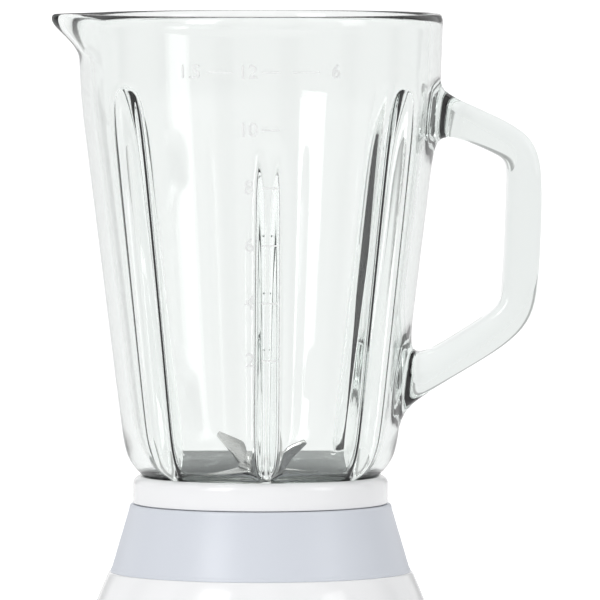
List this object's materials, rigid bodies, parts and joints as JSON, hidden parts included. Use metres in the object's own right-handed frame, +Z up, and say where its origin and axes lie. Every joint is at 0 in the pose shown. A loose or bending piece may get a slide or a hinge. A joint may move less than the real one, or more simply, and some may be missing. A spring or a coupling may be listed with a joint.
{
  "type": "countertop blender",
  "caption": "Countertop blender: round bell-shaped motor base with a speed knob, a screw collar that carries the blades, and a ribbed glass jar with a lip and handle.",
  "frame": {"origin": "on the axis of the motor and the jar, in the plane that the foot ring stands on", "axes": "+Z up along the motor and jar axis, +X towards the handle, -X towards the pouring lip, -Y towards the speed knob"},
  "size_m": [0.1938, 0.1867, 0.3403],
  "materials": {
    "white_plastic": "gloss white ABS",
    "blue_grey_plastic": "satin blue-grey",
    "knob_white": "gloss white",
    "pointer_blue": "blue-grey inlay",
    "light_grey_plastic": "fine-textured light grey",
    "dark_plastic": "moulded black",
    "pin_white": "acetal",
    "foot_rubber": "matt rubber",
    "seal_silicone": "translucent silicone",
    "jar_glass": "clear pressed glass with a faint green edge",
    "stainless": "brushed stainless",
    "zinc_steel": "zinc plated",
    "lamination_steel": "stacked laminations",
    "copper_wire": "enamelled copper wire",
    "copper_bars": "turned copper bars",
    "bronze": "sintered bronze",
    "die_cast": "die cast",
    "carbon": "pressed carbon and black moulding",
    "board_green": "solder mask",
    "film_yellow": "moulded case"
  },
  "bodies": {
    "base": {"foot_ring": "foot_rubber", "bottom_cover": "light_grey_plastic", "cover_screws": "zinc_steel", "base_housing": "white_plastic", "trim_band": "blue_grey_plastic", "jar_seat": "light_grey_plastic", "seat_screws": "zinc_steel", "cord_inlet": "dark_plastic", "terminal_block": "dark_plastic", "dial_plate": "blue_grey_plastic", "speed_switch": "dark_plastic", "interlock_spring": "zinc_steel", "interlock_switch": "dark_plastic", "circuit_board": "board_green", "board_screws": "zinc_steel", "suppression_capacitor": "film_yellow", "rectifier_diodes": "carbon", "stator_core": "lamination_steel", "field_coils": "copper_wire", "upper_bracket": "die_cast", "upper_bearing": "bronze", "lower_bracket": "die_cast", "lower_bearing": "bronze", "bracket_bolts": "zinc_steel", "mount_grommets": "foot_rubber", "mount_screws": "zinc_steel", "brush_holders": "bronze", "carbon_brushes": "carbon", "brush_springs": "zinc_steel"},
    "knob": {"control_knob": "knob_white", "knob_pointer": "pointer_blue", "switch_shaft": "dark_plastic"},
    "interlock": {"interlock_pin": "pin_white"},
    "rotor": {"motor_shaft": "zinc_steel", "armature_core": "lamination_steel", "armature_windings": "copper_wire", "commutator": "copper_bars", "cooling_fan": "dark_plastic", "drive_coupling": "dark_plastic"},
    "blade_unit": {"collar": "white_plastic", "blade_carrier": "light_grey_plastic", "carrier_bushes": "bronze", "shaft_seal": "foot_rubber"},
    "blades": {"driven_coupling": "dark_plastic", "blade_shaft": "stainless", "blade_spacer": "stainless", "lower_blade": "stainless", "upper_blade": "stainless", "blade_nut": "stainless"},
    "gasket": {"jar_gasket": "seal_silicone"},
    "jar": {"glass_jar": "jar_glass"}
  },
  "joints": [
    {"name": "knob_turn", "type": "hinge", "parent": "base", "child": "knob", "pos_m": [0, -0.07942, 0.062], "axis": [0, -0.9769, 0.2137], "range_deg": [-135, 45]},
    {"name": "interlock_slide", "type": "slide", "parent": "base", "child": "interlock", "axis": [0, 0, 1], "range_m": [0, 0.002], "deforming": ["interlock_spring"]},
    {"name": "rotor_spin", "type": "hinge", "parent": "base", "child": "rotor", "pos_m": [0, 0, 0.08], "axis": [0, 0, 1], "continuous": true},
    {"name": "jar_lift", "type": "slide", "parent": "base", "child": "blade_unit", "axis": [0, 0, 1], "range_m": [0, 0.05]},
    {"name": "blade_spin", "type": "hinge", "parent": "blade_unit", "child": "blades", "pos_m": [0, 0, 0.16], "axis": [0, 0, 1], "continuous": true},
    {"name": "jar_rise", "type": "slide", "parent": "blade_unit", "child": "gasket", "axis": [0, 0, 1], "range_m": [0, 0.0049]},
    {"name": "jar_unscrew", "type": "hinge", "parent": "gasket", "child": "jar", "pos_m": [0, 0, 0.16], "axis": [0, 0, 1], "range_deg": [0, 48]}
  ],
  "couplings": [
    {"joint": "blade_spin", "follows": "rotor_spin", "ratio": 1},
    {"joint": "interlock_slide", "follows": "jar_lift", "ratio": 0.04},
    {"joint": "jar_rise", "follows": "jar_unscrew", "m_per_rad": 0.0057296}
  ]
}
